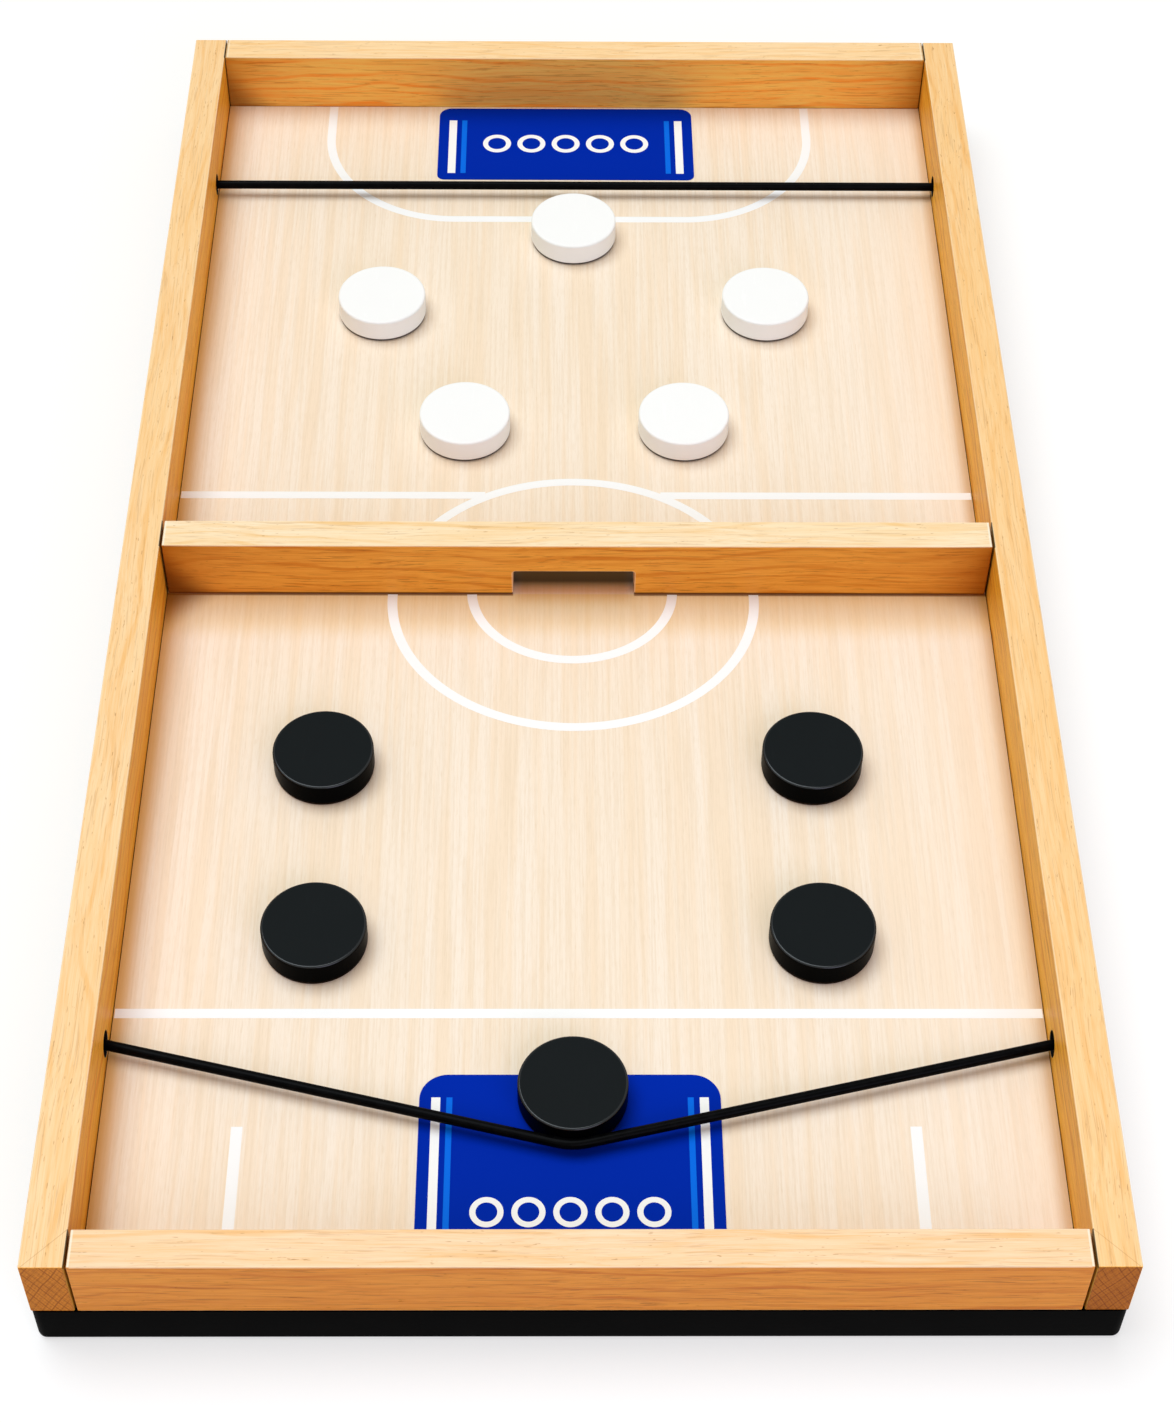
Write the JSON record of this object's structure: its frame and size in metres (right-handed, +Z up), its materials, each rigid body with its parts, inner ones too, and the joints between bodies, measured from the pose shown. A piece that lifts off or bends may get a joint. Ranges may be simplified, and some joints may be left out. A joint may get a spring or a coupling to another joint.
{
  "type": "sling puck board game",
  "caption": "Tabletop game tray with a gated centre divider, an elastic sling near each end and round pucks that are shot through the gate.",
  "frame": {"origin": "middle of the base's underside", "axes": "+Z up, +Y along the tray from the front player's end to the back, +X to the front player's right"},
  "size_m": [0.3106, 0.5606, 0.0412],
  "materials": {
    "pine": "satin clear lacquer on light honey softwood",
    "board_veneer": "pale fine-grained veneer with satin lacquer and white printed court lines",
    "black_paint": "satin black paint",
    "beech": "bare turned dowel",
    "screw_steel": "zinc plated",
    "elastic": "smooth black elastic cord",
    "label_film": "printed film, royal blue with light blue and white",
    "white_puck": "moulded, fine matte",
    "black_puck": "moulded, soft gloss"
  },
  "bodies": {
    "frame": {"base_board": "black_paint", "playing_board": "board_veneer", "left_rail": "pine", "right_rail": "pine", "front_rail": "pine", "back_rail": "pine", "centre_divider": "pine", "dowel_front_left": "beech", "dowel_front_right": "beech", "dowel_divider_left": "beech", "dowel_divider_right": "beech", "dowel_back_left": "beech", "dowel_back_right": "beech", "base_screw_1": "screw_steel", "base_screw_2": "screw_steel", "base_screw_3": "screw_steel", "base_screw_4": "screw_steel", "base_screw_5": "screw_steel", "base_screw_6": "screw_steel", "base_screw_7": "screw_steel", "base_screw_8": "screw_steel", "base_screw_9": "screw_steel", "base_screw_10": "screw_steel", "base_screw_11": "screw_steel", "base_screw_12": "screw_steel", "base_screw_13": "screw_steel", "base_screw_14": "screw_steel", "cord_end_front_left": "elastic", "cord_end_front_right": "elastic", "cord_end_back_left": "elastic", "cord_end_back_right": "elastic", "front_label": "label_film", "back_label": "label_film"},
    "front_sling": {"front_cord_bight": "elastic"},
    "front_sling_left": {"front_cord_left": "elastic"},
    "front_sling_right": {"front_cord_right": "elastic"},
    "back_sling": {"back_cord_bight": "elastic"},
    "back_sling_left": {"back_cord_left": "elastic"},
    "back_sling_right": {"back_cord_right": "elastic"},
    "black_sling": {"black_puck_sling": "black_puck"},
    "black_far_left": {"black_puck_far_left": "black_puck"},
    "black_far_right": {"black_puck_far_right": "black_puck"},
    "black_near_left": {"black_puck_near_left": "black_puck"},
    "black_near_right": {"black_puck_near_right": "black_puck"},
    "white_gate_left": {"white_puck_gate_left": "white_puck"},
    "white_gate_right": {"white_puck_gate_right": "white_puck"},
    "white_mid_left": {"white_puck_mid_left": "white_puck"},
    "white_mid_right": {"white_puck_mid_right": "white_puck"},
    "white_back": {"white_puck_back": "white_puck"}
  },
  "joints": [
    {"name": "front_sling_release", "type": "slide", "parent": "frame", "child": "front_sling", "axis": [0, 1, 0], "range_m": [0, 0.03427]},
    {"name": "front_cord_left_turn", "type": "hinge", "parent": "front_sling", "child": "front_sling_left", "pos_m": [-0.00656, -0.22875, 0.02195], "axis": [0, 0, 1], "range_deg": [0, 14.05]},
    {"name": "front_cord_right_turn", "type": "hinge", "parent": "front_sling", "child": "front_sling_right", "pos_m": [0.00224, -0.22878, 0.02195], "axis": [0, 0, 1], "range_deg": [-13.65, 0]},
    {"name": "back_sling_draw", "type": "slide", "parent": "frame", "child": "back_sling", "axis": [0, 1, 0], "range_m": [0, 0.0343], "stiffness_N_per_m": 250},
    {"name": "back_cord_left_turn", "type": "hinge", "parent": "back_sling", "child": "back_sling_left", "pos_m": [-0.0033, 0.211, 0.02195], "axis": [0, 0, 1], "range_deg": [0, 13.75]},
    {"name": "back_cord_right_turn", "type": "hinge", "parent": "back_sling", "child": "back_sling_right", "pos_m": [0.0033, 0.211, 0.02195], "axis": [0, 0, 1], "range_deg": [-13.75, 0]},
    {"name": "black_sling_shot", "type": "slide", "parent": "front_sling", "child": "black_sling", "axis": [0, 1, 0], "range_m": [0, 0.325]},
    {"name": "black_far_left_slide", "type": "slide", "parent": "frame", "child": "black_far_left", "axis": [0, 1, 0], "range_m": [-0.036, 0.059]},
    {"name": "black_far_right_slide", "type": "slide", "parent": "frame", "child": "black_far_right", "axis": [0, 1, 0], "range_m": [-0.036, 0.059]},
    {"name": "black_near_left_slide", "type": "slide", "parent": "frame", "child": "black_near_left", "axis": [1, 0, 0], "range_m": [-0.0427, 0.0478]},
    {"name": "black_near_right_slide", "type": "slide", "parent": "frame", "child": "black_near_right", "axis": [1, 0, 0], "range_m": [-0.0412, 0.0493]},
    {"name": "white_gate_left_slide", "type": "slide", "parent": "frame", "child": "white_gate_left", "axis": [0, 1, 0], "range_m": [-0.052, 0.03]},
    {"name": "white_gate_right_slide", "type": "slide", "parent": "frame", "child": "white_gate_right", "axis": [0, 1, 0], "range_m": [-0.052, 0.03]},
    {"name": "white_mid_left_slide", "type": "slide", "parent": "frame", "child": "white_mid_left", "axis": [1, 0, 0], "range_m": [-0.0517, 0.0367]},
    {"name": "white_mid_right_slide", "type": "slide", "parent": "frame", "child": "white_mid_right", "axis": [1, 0, 0], "range_m": [-0.0372, 0.0533]},
    {"name": "white_back_slide", "type": "slide", "parent": "frame", "child": "white_back", "axis": [1, 0, 0], "range_m": [-0.1242, 0.1258]}
  ],
  "couplings": [
    {"joint": "front_cord_left_turn", "follows": "front_sling_release", "rad_per_m": 7.131},
    {"joint": "front_cord_right_turn", "follows": "front_sling_release", "rad_per_m": -6.921},
    {"joint": "back_cord_left_turn", "follows": "back_sling_draw", "rad_per_m": 6.97},
    {"joint": "back_cord_right_turn", "follows": "back_sling_draw", "rad_per_m": -6.97}
  ]
}
